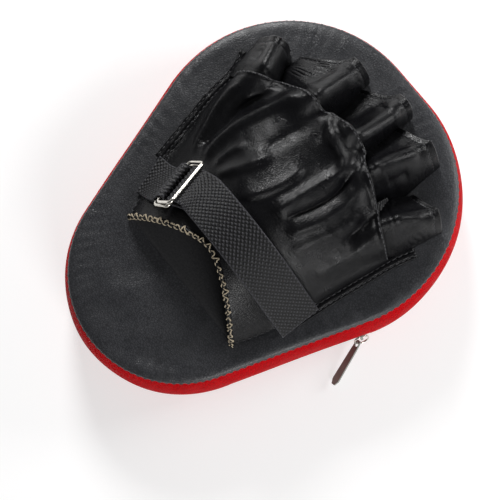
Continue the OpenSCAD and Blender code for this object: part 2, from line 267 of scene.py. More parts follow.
def tube_parts(points, radius, sides=8, closed=False, start=0):
    """Points and faces of a round tube along a line, with domed ends."""
    p = np.asarray(points, float)
    radii = np.full(len(p), float(radius))
    if not closed:
        first, last = unit(p[0] - p[1]), unit(p[-1] - p[-2])
        dome = [(0.55, 0.84), (0.9, 0.44)]
        p = np.concatenate([[p[0] + first * radius * a for a, _ in dome[::-1]], p,
                            [p[-1] + last * radius * a for a, _ in dome]])
        radii = np.r_[[radius * b for _, b in dome[::-1]], radii, [radius * b for _, b in dome]]
        tangent = unit(np.gradient(p, axis=0))
    else:
        tangent = unit(np.roll(p, -1, axis=0) - np.roll(p, 1, axis=0))
    side = np.cross(tangent[0], [0.31, 0.17, 0.93])
    sides_at = []
    for t in tangent:
        side = unit(side - t * (side @ t))
        sides_at.append(side)
    a = np.array(sides_at)
    if closed:
        twist = math.atan2(np.cross(a[-1], a[0]) @ tangent[0], a[-1] @ a[0])
        turn = np.linspace(0, twist, len(p))[:, None]
        a = a * np.cos(turn) + np.cross(tangent, a) * np.sin(turn)
    b = np.cross(tangent, a)
    angle = np.linspace(0, 2 * math.pi, sides, endpoint=False)
    ring = a[:, None] * np.cos(angle)[None, :, None] + b[:, None] * np.sin(angle)[None, :, None]
    grid = p[:, None] + ring * radii[:, None, None]
    rows = len(p)
    faces = quads(rows, sides, True, start).tolist()
    if closed:
        last = start + (rows - 1) * sides
        faces += [[last + j, last + (j + 1) % sides, start + (j + 1) % sides, start + j]
                  for j in range(sides)]
    else:
        faces += [[start + j for j in range(sides)],
                  [start + (rows - 1) * sides + j for j in range(sides)][::-1]]
    return grid.reshape(-1, 3), faces


def tubes(name, lines, radius, material, sides=8, closed=False, **rest):
    """One piece of many tubes."""
    points, faces, count = [], [], 0
    for line in lines:
        p, f = tube_parts(line, radius, sides, closed, count)
        points.append(p)
        faces += f
        count += len(p)
    return piece(name, np.concatenate(points), faces, material, **rest)


def stitch_lines(path, out, length=2.5, gap=1.3, radius=0.3):
    """Short arched lines along a path, for tubes(): each stitch dips into the leather at its ends."""
    far = np.r_[0, np.cumsum(np.linalg.norm(np.diff(path, axis=0), axis=1))]
    lines = []
    u = np.linspace(0, 1, 6)
    for begin in np.arange(gap, far[-1] - length, length + gap):
        at = begin + length * u
        p = np.stack([np.interp(at, far, path[:, k]) for k in range(3)], axis=1)
        n = unit(np.stack([np.interp(at, far, out[:, k]) for k in range(3)], axis=1))
        lines.append(p + n * (radius * (1.7 * np.sin(math.pi * u) - 1.1))[:, None])
    return lines


def material(name, colour, roughness, metallic=0.0, **sockets):
    made = bpy.data.materials.new(name)
    made.use_nodes = True
    shader = made.node_tree.nodes["Principled BSDF"]
    shader.inputs["Base Color"].default_value = (*colour, 1)
    shader.inputs["Roughness"].default_value = roughness
    shader.inputs["Metallic"].default_value = metallic
    for key, value in sockets.items():
        shader.inputs[key.replace("_", " ")].default_value = value
    return made, made.node_tree, shader


def add(tree, kind, **settings):
    node = tree.nodes.new("ShaderNode" + kind)
    for key, value in settings.items():
        if key in node.bl_rna.properties:
            setattr(node, key, value)
        else:
            node.inputs[key].default_value = value
    return node


def noise(tree, size, detail=3.0, rough=0.55):
    """Noise with lumps about size metres across, in the piece's own space."""
    place = add(tree, "TexCoord")
    made = add(tree, "TexNoise", Scale=1 / size, Detail=detail, Roughness=rough)
    tree.links.new(place.outputs["Object"], made.inputs["Vector"])
    return made.outputs["Fac"]


def ranged(tree, value, low, high, from_low=0.3, from_high=0.7):
    made = add(tree, "MapRange")
    for key, v in (("From Min", from_low), ("From Max", from_high), ("To Min", low), ("To Max", high)):
        made.inputs[key].default_value = v
    tree.links.new(value, made.inputs["Value"])
    return made.outputs["Result"]


def mixed(tree, share, first, second):
    made = add(tree, "Mix", data_type="RGBA")
    tree.links.new(share, made.inputs[0])
    for socket, value in ((made.inputs[6], first), (made.inputs[7], second)):
        if isinstance(value, tuple):
            socket.default_value = (*value, 1)
        else:
            tree.links.new(value, socket)
    return made.outputs[2]


def bump(tree, shader, height, distance, strength=1.0, onto=None):
    made = add(tree, "Bump", Strength=strength, Distance=distance)
    tree.links.new(height, made.inputs["Height"])
    if onto is not None:
        tree.links.new(onto, made.inputs["Normal"])
    tree.links.new(made.outputs["Normal"], shader.inputs["Normal"])
    return made.outputs["Normal"]


def leather(name, dark, light, roughness, cell, depth, crease=0.006, crease_depth=0.0, **sockets):
    """Grained leather: pebbles about cell metres across, fine creases, and worn lighter crests."""
    made, tree, shader = material(name, dark, roughness, **sockets)
    place = add(tree, "TexCoord")
    bend = add(tree, "TexNoise", Scale=0.45 / cell, Detail=2.0)
    tree.links.new(place.outputs["Object"], bend.inputs["Vector"])
    shift = add(tree, "VectorMath", operation="MULTIPLY_ADD")
    tree.links.new(bend.outputs["Color"], shift.inputs[0])
    shift.inputs[1].default_value = (cell, cell, cell)
    tree.links.new(place.outputs["Object"], shift.inputs[2])
    pebbles = add(tree, "TexVoronoi", feature="DISTANCE_TO_EDGE", Scale=1 / cell)
    tree.links.new(shift.outputs[0], pebbles.inputs["Vector"])
    pebble = ranged(tree, pebbles.outputs["Distance"], 0, 1, 0.0, 0.22)
    worn = ranged(tree, noise(tree, 0.035, 4), 0, 1)
    pointed = add(tree, "NewGeometry")
    crest = ranged(tree, pointed.outputs["Pointiness"], 0, 1, 0.5, 0.62)
    tone = mixed(tree, worn, dark, light)
    tone = mixed(tree, crest, tone, tuple(min(1.0, 1.35 * c + 0.006) for c in light))
    tone = mixed(tree, ranged(tree, pebble, 0, 1, 0, 1), tuple(0.55 * c for c in dark), tone)
    tree.links.new(tone, shader.inputs["Base Color"])
    rough = ranged(tree, noise(tree, 0.012, 3), roughness - 0.06, roughness + 0.08)
    tree.links.new(rough, shader.inputs["Roughness"])
    soft = bump(tree, shader, noise(tree, crease, 5, 0.6), crease_depth or depth, 0.8)
    bump(tree, shader, pebble, depth, 0.9, soft)
    return made


def thread(name, colour, roughness=0.7):
    made, tree, shader = material(name, colour, roughness)
    tone = mixed(tree, ranged(tree, noise(tree, 0.0011, 2), 0, 1), tuple(0.6 * c for c in colour), colour)
    tree.links.new(tone, shader.inputs["Base Color"])
    bump(tree, shader, noise(tree, 0.0005, 2), 0.0001)
    return made


def metal(name, colour, roughness, scratch=0.00004, metallic=1.0):
    made, tree, shader = material(name, colour, roughness, metallic)
    rough = ranged(tree, noise(tree, 0.004, 4), roughness - 0.05, roughness + 0.12)
    tree.links.new(rough, shader.inputs["Roughness"])
    tone = mixed(tree, ranged(tree, noise(tree, 0.006, 3), 0, 1), tuple(0.8 * c for c in colour), colour)
    tree.links.new(tone, shader.inputs["Base Color"])
    bump(tree, shader, noise(tree, 0.0009, 4), scratch)
    return made


def cloth(name, dark, light, size, depth, roughness=0.85, crest=None, **sockets):
    made, tree, shader = material(name, dark, roughness, **sockets)
    tone = mixed(tree, ranged(tree, noise(tree, size, 4), 0, 1), dark, light)
    # A crest colour, where given, is a painted highlight on the weave's crests found by pointiness, and the
    # hollows get painted shade of a quarter of the dark colour
    if crest:
        high = ranged(tree, add(tree, "NewGeometry").outputs["Pointiness"], 0, 1, 0.47, 0.6)
        tone = mixed(tree, high, tuple(0.25 * c for c in dark), mixed(tree, high, tone, crest))
    tree.links.new(tone, shader.inputs["Base Color"])
    bump(tree, shader, noise(tree, size * 0.6, 3), depth)
    return made


def foam(name, dark, light):
    made, tree, shader = material(name, dark, 0.9)
    place = add(tree, "TexCoord")
    cells = add(tree, "TexVoronoi", Scale=900.0)
    tree.links.new(place.outputs["Object"], cells.inputs["Vector"])
    tone = mixed(tree, ranged(tree, cells.outputs["Distance"], 0, 1, 0, 0.7), dark, light)
    tree.links.new(tone, shader.inputs["Base Color"])
    bump(tree, shader, cells.outputs["Distance"], 0.0004)
    return made


GLOVE = leather("glove_leather", (0.003, 0.003, 0.004), (0.006, 0.006, 0.007), 0.31, cell=0.0011,
                depth=0.00006, crease=0.004, crease_depth=0.00012, Specular_IOR_Level=0.22)
PANEL = leather("panel_leather", (0.024, 0.025, 0.029), (0.04, 0.041, 0.046), 0.42, cell=0.0014,
                depth=0.00006, crease=0.004, crease_depth=0.0003)
RED = leather("band_leather", (0.50, 0.0, 0.003), (0.62, 0.001, 0.005), 0.5, cell=0.0012,
              depth=0.0001, crease=0.01, crease_depth=0.0004, Specular_IOR_Level=0.01)
FACE = leather("face_leather", (0.014, 0.014, 0.015), (0.026, 0.026, 0.028), 0.42, cell=0.0012, depth=0.00012)
LINING = cloth("glove_lining", (0.016, 0.016, 0.018), (0.03, 0.03, 0.032), 0.0012, 0.0002)
GUSSET = cloth("gusset_cloth", (0.005, 0.005, 0.006), (0.011, 0.011, 0.012), 0.0009, 0.0002, 0.5)
# The webbing's crest colour is a painted highlight on its weave crests, with painted shade in the hollows
WEBBING = cloth("webbing", (0.004, 0.004, 0.005), (0.009, 0.009, 0.01), 0.0006, 0.0001, roughness=0.5,
                crest=(0.085, 0.085, 0.097), Specular_IOR_Level=0.3)
FASTENER = cloth("fastener_pile", (0.008, 0.008, 0.009), (0.02, 0.02, 0.021), 0.0007, 0.0003)
BLACK_THREAD = thread("black_thread", (0.045, 0.045, 0.05), 0.4)
CREAM_THREAD = thread("cream_thread", (0.58, 0.49, 0.35))
NICKEL = metal("nickel_wire", (0.78, 0.75, 0.69), 0.16)
SATIN = metal("satin_steel", (0.3, 0.31, 0.28), 0.34, 0.00008, 0.15)
COIL = cloth("zip_nylon", (0.02, 0.02, 0.021), (0.035, 0.035, 0.037), 0.0008, 0.00005, 0.4)
TAPE = cloth("zip_tape", (0.010, 0.010, 0.011), (0.02, 0.02, 0.022), 0.0008, 0.0001)
FOAM = foam("soft_foam", (0.55, 0.47, 0.28), (0.72, 0.64, 0.42))
DENSE = foam("dense_foam", (0.10, 0.10, 0.11), (0.19, 0.19, 0.20))
BOARD = cloth("board", (0.30, 0.20, 0.11), (0.42, 0.29, 0.17), 0.003, 0.0001, 0.7)


# ---------------------------------------------------------------- camera, floor and light
def direction(right, up, high):
    """A direction in the part's frame from one in the picture: right, up and towards the camera."""
    turn = math.radians(38.47)
    image_right = Vector((math.sin(turn), math.cos(turn), 0))
    image_up = Vector((-math.cos(turn), math.sin(turn), 0))
    return image_right * right + image_up * up + Vector((0, 0, high))


def aimed(location, target, up):
    forward = (target - location).normalized()
    right = forward.cross(up).normalized()
    turned = Matrix((right, right.cross(forward), -forward)).transposed().to_4x4()
    return Matrix.Translation(location) @ turned


def make_camera():
    camera = bpy.data.objects.new("camera", bpy.data.cameras.new("camera"))
    bpy.context.scene.collection.objects.link(camera)
    camera.data.lens = 110.8
    camera.data.sensor_width = 36
    camera.data.clip_end = 20
    location = Vector((126, -79, 900)) * MM
    camera.matrix_world = aimed(location, Vector((12.2, -12.9, 20)) * MM, direction(0, 1, 0))
    bpy.context.scene.camera = camera


def area_light(name, towards, distance, size, power, colour=(1, 1, 1)):
    light = bpy.data.lights.new(name, "AREA")
    light.shape = "DISK"
    light.size = size
    light.energy = power
    light.color = colour
    obj = bpy.data.objects.new(name, light)
    bpy.context.scene.collection.objects.link(obj)
    place = towards.normalized() * distance
    obj.matrix_world = aimed(place, Vector((0, 0, 0.04)), Vector((0.1, 0.2, 1)).normalized())


def make_stage():
    made, tree, shader = material("floor_paint", (0.58, 0.58, 0.58), 0.6, Emission_Color=(1, 1, 1, 1),
                                  Emission_Strength=0.5)
    bump(tree, shader, noise(tree, 0.002, 2), 0.00002)
    tone = mixed(tree, ranged(tree, noise(tree, 0.3, 2), 0, 1), (0.57, 0.57, 0.57), (0.59, 0.59, 0.59))
    tree.links.new(tone, shader.inputs["Base Color"])
    mesh = bpy.data.meshes.new("floor")
    far = 4.0
    mesh.from_pydata([(-far, -far, 0), (far, -far, 0), (far, far, 0), (-far, far, 0)], [], [(0, 1, 2, 3)])
    mesh.materials.append(made)
    floor = bpy.data.objects.new("floor", mesh)
    bpy.context.scene.collection.objects.link(floor)
    world = bpy.data.worlds.new("studio")
    world.use_nodes = True
    background = world.node_tree.nodes["Background"]
    background.inputs["Color"].default_value = (1, 1, 1, 1)
    background.inputs["Strength"].default_value = 0.13
    bpy.context.scene.world = world
    bpy.context.scene.view_settings.view_transform = "Standard"
    area_light("key", direction(-0.15, 1.0, 0.68), 1.15, 0.32, 11)
    area_light("side", direction(0.95, 0.3, 0.5), 0.75, 0.3, 2.6)
    area_light("low", direction(0.35, -0.9, 0.6), 1.1, 0.5, 6.0)


make_camera()
make_stage()


# ---------------------------------------------------------------- pad
def pad_outline(inset, step=1.6):
    """The pad seen from above: two shoulder arcs, one wrist arc and the straights between."""
    def arc(cx, cy, r, start, end):
        a = np.linspace(start, end, max(3, int(abs(end - start) * SHOULDER_R / step)))
        return np.stack([cx + (r - inset) * np.cos(a), cy + (r - inset) * np.sin(a)], -1)

    def straight(a, b, gap):
        n = max(2, int(gap / step))
        return a + (b - a) * np.linspace(0, 1, n + 1)[1:-1, None]

    half = math.pi / 2
    right = arc(SHOULDER[0], SHOULDER[1], SHOULDER_R, SIDE_ANGLE, half)
    left = arc(-SHOULDER[0], SHOULDER[1], SHOULDER_R, half, math.pi - SIDE_ANGLE)
    wrist = arc(0, WRIST_Y, WRIST_R, math.pi - SIDE_ANGLE, 2 * math.pi + SIDE_ANGLE)
    side = 88.4
    return np.concatenate([right, straight(right[-1], left[0], 2 * SHOULDER[0]), left,
                           straight(left[-1], wrist[0], side), wrist, straight(wrist[-1], right[0], side)])


# How far the band leans in at the back panel and at the striking face
BAND_LEAN_TOP = 5.7
BAND_LEAN_FOOT = 3.5


def band_inset(z):
    z = np.asarray(z, float)
    above = BAND_LEAN_TOP * ((z - BULGE_Z) / (PAD_H - BULGE_Z)) ** 2
    below = BAND_LEAN_FOOT * ((BULGE_Z - z) / BULGE_Z) ** 2
    return np.where(z > BULGE_Z, above, below)


ZIP_X = np.array([math.cos(SIDE_ANGLE), math.sin(SIDE_ANGLE)])
ZIP_Y = np.array([-math.sin(SIDE_ANGLE), math.cos(SIDE_ANGLE)])
SIDE_TOP = np.array(SHOULDER) + SHOULDER_R * ZIP_X


def zip_place(along, out, up):
    """A point from its place along the zipper, outwards from the side and up from the chain."""
    along, out, up = np.broadcast_arrays(np.asarray(along, float), out, up)
    flat = SIDE_TOP + ZIP_X * out[..., None] + ZIP_Y * along[..., None]
    return np.concatenate([flat, (ZIP_Z + up)[..., None]], axis=-1)


def make_cover(name, foot, crown, low_inset, mat, slot, node, seed):
    """A crowned leather cover over foam, its edge turned into the seam. foot and crown are heights."""
    outline = pad_outline(low_inset)
    share = 1 - np.linspace(0, 1, 64) ** 1.35
    edge_mm = (1 - share) * 80
    grid = outline[None] * share[:, None, None]
    sign = 1 if crown > foot else -1
    rise = (crown - foot) * np.sqrt(np.clip(1 - (1 - np.clip(edge_mm / 5.0, 0, 1)) ** 2, 0, 1))
    z = foot + rise[:, None] + np.zeros(grid.shape[:2])
    seam = np.exp(-((edge_mm - 6) / 5) ** 2)[:, None]
    far = np.arange(outline.shape[0]) * 1.6
    uneven = np.clip(0.5 + ripple(outline, 30, seed + 3), 0, 1)
    pucker = 0.12 * np.sin(far * 2 * math.pi / 9 + 4 * ripple(outline, 40, seed))[None] * seam * uneven[None]
    dents = 0.9 * np.clip(ripple(grid, 30, seed + 1), 0, 1) + 0.1 * ripple(grid, 9, seed + 2)
    inside = ease(edge_mm, 1, 9)[:, None]
    z = z + sign * (pucker - 0.2) - sign * dents * inside * (1 if sign > 0 else 0.35) - sign * 0.1
    top = np.concatenate([grid, z[..., None]], axis=-1)[:-1]
    base = foot + 0 * z[:-1]
    under = np.concatenate([grid[:-1], (np.minimum(base, top[..., 2] - 0.3) if sign > 0
                                        else np.maximum(base, top[..., 2] + 0.3))[..., None]], axis=-1)
    rows, cols = top.shape[:2]
    points, faces = shell(top, under, True)
    faces = faces.tolist()[: 2 * (rows - 1) * cols + cols]
    centre = [top[-1, :, :].mean(0), under[-1, :, :].mean(0)]
    points = np.concatenate([points, centre])
    last, size = (rows - 1) * cols, rows * cols
    faces += [[last + j, last + (j + 1) % cols, 2 * size] for j in range(cols)]
    faces += [[size + last + (j + 1) % cols, size + last + j, 2 * size + 1] for j in range(cols)]
    made = piece(name, points, faces, mat, slot=slot, replaces=[node])
    return made


def make_band():
    """The red side, bulging round the pad, with a slit for the zipper."""
    slit_low, slit_high = ZIP_Z - 4.2, ZIP_Z + 4.2
    z = np.unique(np.r_[np.linspace(1.0, slit_low, 10), np.linspace(slit_low, slit_high, 6),
                        np.linspace(slit_high, 43.2, 20), 43.8, 44.2, 44.45])
    rows = []
    for level in z:
        line = pad_outline(float(band_inset(level)))
        rows.append(np.concatenate([line, np.full((len(line), 1), level)], axis=1))
    grid = np.array(rows)
    far = np.arange(grid.shape[1]) * 1.6
    out = unit(np.concatenate([grid_normals(grid, True)[..., :2], 0 * grid[..., :1]], -1))
    centre = out * np.sign((out * (grid - [0, -5, 20])).sum(-1, keepdims=True))
    phase = 2 * ripple(grid[0, :, :2], 35, 5)
    near_top = np.exp(-(TUCK_Z - grid[..., 2]) / 6)
    near_low = np.exp(-(grid[..., 2] - 1.0) / 5)
    pucker = 0.1 * np.sin(far * 2 * math.pi / 6.1 + phase)[None] * (near_top + near_low)
    waves = 0.35 * ripple(grid, 24, 6) * np.exp(-((grid[..., 2] - 24) / 14) ** 2)
    tuck = -1.6 * np.exp(-(TUCK_Z - grid[..., 2]) / 0.5) - 1.2 * np.exp(-(grid[..., 2] - 1.0) / 0.5)
    grid = grid + centre * (pucker + waves + tuck)[..., None]
    inner = grid - centre * SKIN_T
    points, faces = shell(grid, inner, True)
    rows, cols = grid.shape[:2]
    local = (grid[..., :2] - SIDE_TOP) @ ZIP_Y
    beside = (grid[..., :2] - SIDE_TOP) @ ZIP_X
    hole = (beside > -12) & (local > -CHAIN_L - 2.6) & (local < 2.6)
    inside = (grid[..., 2] > slit_low - 0.01) & (grid[..., 2] < slit_high + 0.01) & hole
    flags = np.concatenate([inside.ravel(), inside.ravel()])
    body_faces = faces[: 2 * (rows - 1) * cols]
    keep = ~flags[body_faces].all(axis=1)
    removed = body_faces[: (rows - 1) * cols][flags[body_faces[: (rows - 1) * cols]].all(axis=1)]
    edges = {}
    for f in removed:
        for a, b in zip(f, np.roll(f, -1)):
            key = (min(a, b), max(a, b))
            edges[key] = edges.get(key, 0) + 1
    size = rows * cols
    rim = [[a, b, b + size, a + size] for (a, b), n in edges.items() if n == 1]
    all_faces = body_faces[keep].tolist() + faces[2 * (rows - 1) * cols:].tolist() + rim
    used = np.zeros(len(points), bool)
    used[np.unique([i for f in all_faces for i in f])] = True
    new = np.cumsum(used) - 1
    all_faces = [[int(new[i]) for i in f] for f in all_faces]
    band = piece("side_band_leather", points[used], all_faces, RED, slot="band_leather",
                 replaces=["side_band"])
    level = int(np.argmin(abs(z - 43.0)))
    low = int(np.argmin(abs(z - 3.4)))
    for name, k in (("band_stitches_upper", level), ("band_stitches_lower", low)):
        path = np.concatenate([grid[k], grid[k][:1]])
        normal = np.concatenate([centre[k], centre[k][:1]])
        tubes(name, stitch_lines(path, normal, 2.6, 1.5, 0.3), 0.3, BLACK_THREAD, 6, slot="stitch_thread")
    return band


FOAM_STEP = 4


def make_foam(name, mat, node):
    """A foam layer, its cut edge slightly hollow."""
    level = np.array([0, 0.12, 0.5, 0.88, 1])
    soften = np.array([0.9, 0.15, 0.5, 0.15, 0.9])
    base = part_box(node)
    low, high = base[0].z / MM, base[1].z / MM
    rows = []
    for k, s in zip(level, soften):
        outline = pad_outline(FOAM_INSET + s, FOAM_STEP)
        rows.append(np.column_stack([outline, np.full(len(outline), low + (high - low) * k)]))
    grid = np.array(rows)
    rows, cols = grid.shape[:2]
    points = np.concatenate([grid.reshape(-1, 3), [[0, 0, low], [0, 0, high]]])
    faces = quads(rows, cols, True).tolist()
    count = rows * cols
    faces += [[(j + 1) % cols, j, count] for j in range(cols)]
    faces += [[(rows - 1) * cols + j, (rows - 1) * cols + (j + 1) % cols, count + 1] for j in range(cols)]
    made = piece(name, points, faces, mat, slot="foam", replaces=[node])


# The back cover's foot stands just under the band's tucked edge
COVER_FOOT = 44.3


def make_pad():
    top_inset = float(band_inset(PANEL_Z))
    make_cover("back_cover", COVER_FOOT, PAD_H, top_inset - 0.35, PANEL, "panel_leather", "back_panel", 11)
    face_inset = float(band_inset(FACE_T)) + 0.4
    make_cover("face_cover", 2.0, 0.05, face_inset, FACE, "panel_leather", "face_panel", 21)
    make_band()
    make_foam("soft_foam_block", FOAM, "soft_foam")
    make_foam("dense_foam_block", DENSE, "dense_foam")
    make_foam("hand_foam_block", FOAM, "hand_foam")
    board = frame["nodes"]["backing_board"].data.materials
    board.clear()
    board.append(BOARD)


make_pad()


# ---------------------------------------------------------------- glove
def station(column, s):
    return spline([row[column] for row in STATIONS], s)


def hand_arch(s, t):
    """The plain back of the hand: s runs from the wrist to the knuckles, t across it."""
    y_foot, y_crown, left, right, high, peak, flare_l, flare_r = (station(k, s)[:, None] for k in range(8))
    across = t[None, :]
    a = np.abs(across)
    x = CROWN_X + np.where(across < 0, CROWN_X - left, right - CROWN_X) * across
    y = y_foot + (y_crown - y_foot) * (1 - a**1.5)
    z = GLOVE_Z + high * np.clip(1 - a**peak, 0, 1) ** np.where(across < 0, flare_l, flare_r)
    return np.stack(np.broadcast_arrays(x, y, z), axis=-1)


def finger_frame(finger):
    turn = math.radians(finger[2])
    side = np.array([math.cos(turn), math.sin(turn)])
    ahead = np.array([-math.sin(turn), math.cos(turn)])
    return np.array(finger[:2], float), side, ahead


def finger_rise(finger, xy):
    """Height of a finger over the hand at points seen from above, fading towards the wrist."""
    base, side, ahead = finger_frame(finger)
    across = np.abs((xy - base) @ side) / (finger[4] / 2 + 3.2)
    forward = (xy - base) @ ahead
    arch = np.clip(1 - across**2.2, 0, 1) ** 0.8
    return (finger[5] + 0.6) * arch * ease(forward, -62, 2)


# Folds on the back of the hand, seen from above: line, height, width to the right and to the left
FOLDS = [
    ([(-36, -9), (-39, 8), (-38, 26), (-33, 46), (-27, 60)], 3.6, 2.2, 5.0),
    ([(-44, -12), (-51, 6), (-57, 24), (-57, 40)], 3.2, 1.8, 3.4),
    ([(-26, -9), (-20, 2), (-15, 14), (-12, 26)], 2.6, 2.2, 4.0),
    ([(-6, -7), (1, 8), (4, 21), (3, 36)], 2.4, 2.0, 4.5),
    ([(22, 67), (18, 50), (15, 30), (12, 2)], 3.2, 3.4, 7.0),
    ([(30, 52), (32, 38), (31, 22), (25, 2)], 2.8, 4.5, 2.6),
    ([(-13, 68), (-7, 60), (2, 55), (13, 52), (18, 44)], 3.0, 2.2, 3.0),
    ([(42, 44), (40, 28), (36, 10), (33, -4)], 1.6, 4.0, 4.0),
    ([(56, 38), (53, 20), (50, 0)], 1.4, 3.0, 3.5),
    ([(-29, -6), (-30, 6), (-27, 20)], 1.8, 1.6, 2.2),
    ([(-52, 30), (-46, 44), (-40, 54)], 2.2, 2.0, 3.2),
]
VALLEYS = [
    ([(20, 54), (25, 38), (23, 22), (18, 6)], -3.8, 2.4, 2.6),
    ([(-45, -4), (-46, 14), (-47, 34), (-45, 48)], -2.6, 3.0, 3.0),
    ([(-18, 20), (-17, 36), (-14, 52)], -1.6, 3.0, 4.0),
    ([(-12, 63), (0, 60), (12, 58)], -1.6, 1.8, 1.8),
    ([(44, 52), (47, 40), (46, 24)], -2.0, 2.4, 3.0),
]


def soft_highest(layers, blend):
    stacked = np.stack(layers) / blend
    top = stacked.max(axis=0)
    return blend * (top + np.log(np.exp(stacked - top).sum(axis=0)))


def glove_surface():
    s = with_ends(np.linspace(0, LAST, 150), 0.045)
    t = np.sin(math.pi / 2 * with_ends(np.linspace(-1, 1, 171), 0.01))
    grid = hand_arch(s, t)
    knuckle = ease(s, 3.2, LAST)[:, None]
    line = curve_through(KNUCKLE_LINE, 0.5)
    end_y = hand_arch(np.array([float(LAST)]), t)[0, :, 1]
    wanted = np.interp(grid[-1, :, 0], line[:, 0], line[:, 1])
    grid[..., 1] += knuckle * (wanted - end_y)[None]
    high = grid[..., 2] - GLOVE_Z
    lowered = high * (1 - 0.17 * knuckle)
    fingers = [finger_rise(f, grid[..., :2]) * ease(np.abs(t), 1.0, 0.97)[None] for f in FINGERS.values()]
    raised = soft_highest([lowered] + fingers, 2.2)
    share = ease(s, 1.8, 3.8)[:, None] * ease(high, 0, 6)
    grid[..., 2] = GLOVE_Z + high + (raised - high) * share
    out = grid_normals(grid)
    out *= np.sign(out[..., 2:3].mean())
    move = sum(fold(grid[..., :2], *f) for f in FOLDS + VALLEYS)
    above_strap = ease(grid[..., 1], -9, 4)
    held = ease(grid[..., 2] - GLOVE_Z, 0.5, 9)
    near_edge = 1 - 0.75 * ease(s, LAST - 0.25, LAST)[:, None]
    wrinkle = 0.12 * ripple(grid, 14, 31) + 0.08 * ripple(grid, 4, 32)
    seam_pucker = 0.5 + 0.5 * np.clip(ripple(grid, 6, 33), -1, 1)
    sewn_line = -1.1 * np.exp(-(((s - SEAM_S) / 0.045) ** 2))[:, None] * seam_pucker
    seam = sewn_line - 0.3 * ease(s, SEAM_S - 0.03, LAST)[:, None]
    total = move * above_strap * near_edge + wrinkle * (0.25 + 0.75 * above_strap) + seam
    grid = grid + out * (total * held)[..., None]
    return grid, grid_normals(grid) * np.sign(out[..., 2:3].mean())


def make_glove_back():
    grid, out = glove_surface()
    points, faces = leather_skin(grid, LEATHER_T)
    piece("glove_back_leather", points, faces, GLOVE, slot="glove_leather", replaces=["glove_back"])
    face = out * (LEATHER_T / 2)
    s_of = np.linspace(0, LAST, grid.shape[0])
    row = int(np.argmin(abs(s_of - SEAM_S)))
    inner = slice(12, -12)
    tubes("knuckle_stitches", stitch_lines((grid + face)[row, inner], out[row, inner], 2.4, 1.4, 0.42), 0.42,
          BLACK_THREAD, 6, slot="stitch_thread")
    along = slice(3, int(np.argmin(abs(s_of - 2.9))))
    rows = [stitch_lines((grid + face)[along, col], out[along, col], 2.4, 1.3, 0.3) for col in (13, -14)]
    tubes("foot_stitches", rows[0] + rows[1], 0.3, BLACK_THREAD, 6, slot="stitch_thread")
    return grid, out


# For each finger: where its crest leans, then folds along it: line across and forward, height, width
CREASES = {
    "thumb": (-0.2, [([(2, 0), (1, 12), (0, 22)], 1.2, 2.0), ([(-5, 4), (-4, 18)], -1.2, 1.6)]),
    "index": (-0.1, [([(1, 0), (2, 14), (2, 27)], 1.1, 3.0), ([(-8, 2), (-6, 12), (-5, 24)], -1.2, 2.2)]),
    "middle": (-0.34, [([(8, 2), (7, 16), (5, 31)], 1.3, 1.8), ([(-3, 2), (-2, 18), (-1, 29)], -1.7, 5.0)]),
    "ring_finger": (0.3, [([(-5, 0), (-3, 14), (-1, 29)], 1.2, 3.0), ([(5, 3), (5, 20)], -1.3, 2.4)]),
    "little": (0.22, [([(-4, 0), (-2, 10), (0, 20)], 1.2, 2.6), ([(4, 2), (3, 16)], -1.0, 2.0)]),
}
SLEEVE_MORE = 3.0
# How far each sleeve's thumb side spreads out, and how far back its hem slants there
FLARE = {"thumb": (3, 2), "index": (17, 20), "middle": (12, 14), "ring_finger": (13, 10), "little": (8, 9)}


# Sleeves gathered into ribs on their thumb side
RIBBED = {FINGERS["thumb"]: 1.0, FINGERS["index"]: 0.4}


